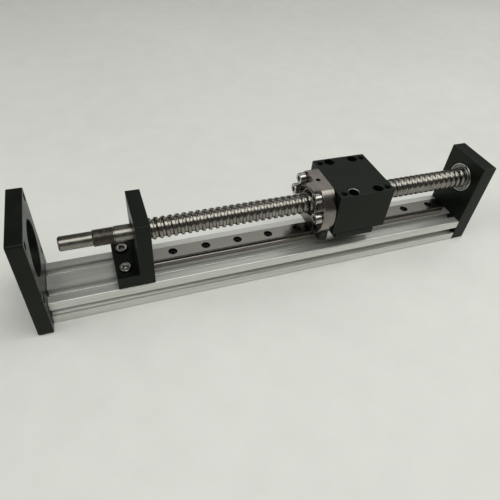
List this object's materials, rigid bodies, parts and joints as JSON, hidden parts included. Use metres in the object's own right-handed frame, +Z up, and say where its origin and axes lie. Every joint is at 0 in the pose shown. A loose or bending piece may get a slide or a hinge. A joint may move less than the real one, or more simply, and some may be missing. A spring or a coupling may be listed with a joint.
{
  "type": "ball screw linear stage",
  "caption": "Ball screw linear stage: nut block and rail carriage on an aluminium profile base, driven by a rolled screw between end plates.",
  "frame": {"origin": "middle of the footprint, on the underside of the profile", "axes": "+X along the screw from the motor plate to the end plate, +Y across the stage, +Z up from the base to the nut block"},
  "size_m": [0.358, 0.057, 0.0815],
  "materials": {
    "black_anodised": "black anodised, satin",
    "aluminium_profile": "extruded, clear anodised",
    "rail_steel": "ground",
    "screw_steel": "rolled and polished",
    "nut_steel": "ground, lightly oiled",
    "bearing_steel": "polished",
    "stainless_fastener": "plain stainless",
    "black_fastener": "black oxide",
    "carriage_steel": "ground",
    "green_plastic": "moulded",
    "shield_steel": "pressed sheet",
    "wiper_plastic": "moulded",
    "ball_steel": "polished",
    "zinc_steel": "zinc plated"
  },
  "bodies": {
    "base": {"base_extrusion": "aluminium_profile", "linear_rail": "rail_steel", "rail_screw_01": "black_fastener", "rail_screw_02": "black_fastener", "rail_screw_03": "black_fastener", "rail_screw_04": "black_fastener", "rail_screw_05": "black_fastener", "rail_screw_06": "black_fastener", "rail_screw_07": "black_fastener", "rail_screw_08": "black_fastener", "rail_screw_09": "black_fastener", "rail_screw_10": "black_fastener", "motor_plate": "black_anodised", "motor_plate_screw_near": "black_fastener", "motor_plate_screw_far": "black_fastener", "end_plate": "black_anodised", "end_plate_screw_near": "black_fastener", "end_plate_screw_far": "black_fastener", "support_block": "black_anodised", "support_screw_near": "stainless_fastener", "support_screw_far": "stainless_fastener", "t_nut_near": "zinc_steel", "t_nut_far": "zinc_steel", "front_bearing_outer_ring": "bearing_steel", "front_bearing_seal_left": "shield_steel", "front_bearing_seal_right": "shield_steel", "rear_bearing_outer_ring": "bearing_steel", "rear_bearing_seal_left": "shield_steel", "rear_bearing_seal_right": "shield_steel"},
    "screw": {"ball_screw": "screw_steel", "front_bearing_inner_ring": "bearing_steel", "rear_bearing_inner_ring": "bearing_steel", "rear_circlip": "black_fastener"},
    "carriage": {"nut_housing": "black_anodised", "adapter_plate": "black_anodised", "housing_screw_1": "black_fastener", "housing_screw_2": "black_fastener", "housing_screw_3": "black_fastener", "housing_screw_4": "black_fastener", "adapter_screw_1": "black_fastener", "adapter_screw_2": "black_fastener", "adapter_screw_3": "black_fastener", "adapter_screw_4": "black_fastener", "ball_nut": "nut_steel", "flange_screw_near_upper": "stainless_fastener", "flange_screw_near_middle": "stainless_fastener", "flange_screw_far_upper": "stainless_fastener", "flange_screw_far_middle": "stainless_fastener", "nut_wiper_front": "wiper_plastic", "nut_wiper_rear": "wiper_plastic", "ball_circuit_1": "ball_steel", "ball_circuit_2": "ball_steel", "ball_circuit_3": "ball_steel", "carriage_body": "carriage_steel", "carriage_end_cap_front": "green_plastic", "carriage_end_cap_rear": "green_plastic", "carriage_ball_row_near": "ball_steel", "carriage_ball_row_far": "ball_steel"},
    "front_cage": {"front_bearing_ball_cage": "ball_steel"},
    "rear_cage": {"rear_bearing_ball_cage": "ball_steel"}
  },
  "joints": [
    {"name": "screw_spin", "type": "hinge", "parent": "base", "child": "screw", "pos_m": [0, 0, 0.053], "axis": [1, 0, 0], "range_deg": [-6057, 8361]},
    {"name": "carriage_slide", "type": "slide", "parent": "base", "child": "carriage", "axis": [1, 0, 0], "range_m": [-0.1161, 0.0841]},
    {"name": "front_cage_spin", "type": "hinge", "parent": "base", "child": "front_cage", "pos_m": [-0.1003, 0, 0.053], "axis": [1, 0, 0], "range_deg": [-2530, 3492]},
    {"name": "rear_cage_spin", "type": "hinge", "parent": "base", "child": "rear_cage", "pos_m": [0.1703, 0, 0.053], "axis": [1, 0, 0], "range_deg": [-2530, 3492]}
  ],
  "couplings": [
    {"joint": "screw_spin", "follows": "carriage_slide", "rad_per_m": -1256.6},
    {"joint": "front_cage_spin", "follows": "carriage_slide", "rad_per_m": -524.77},
    {"joint": "rear_cage_spin", "follows": "carriage_slide", "rad_per_m": -524.77}
  ]
}
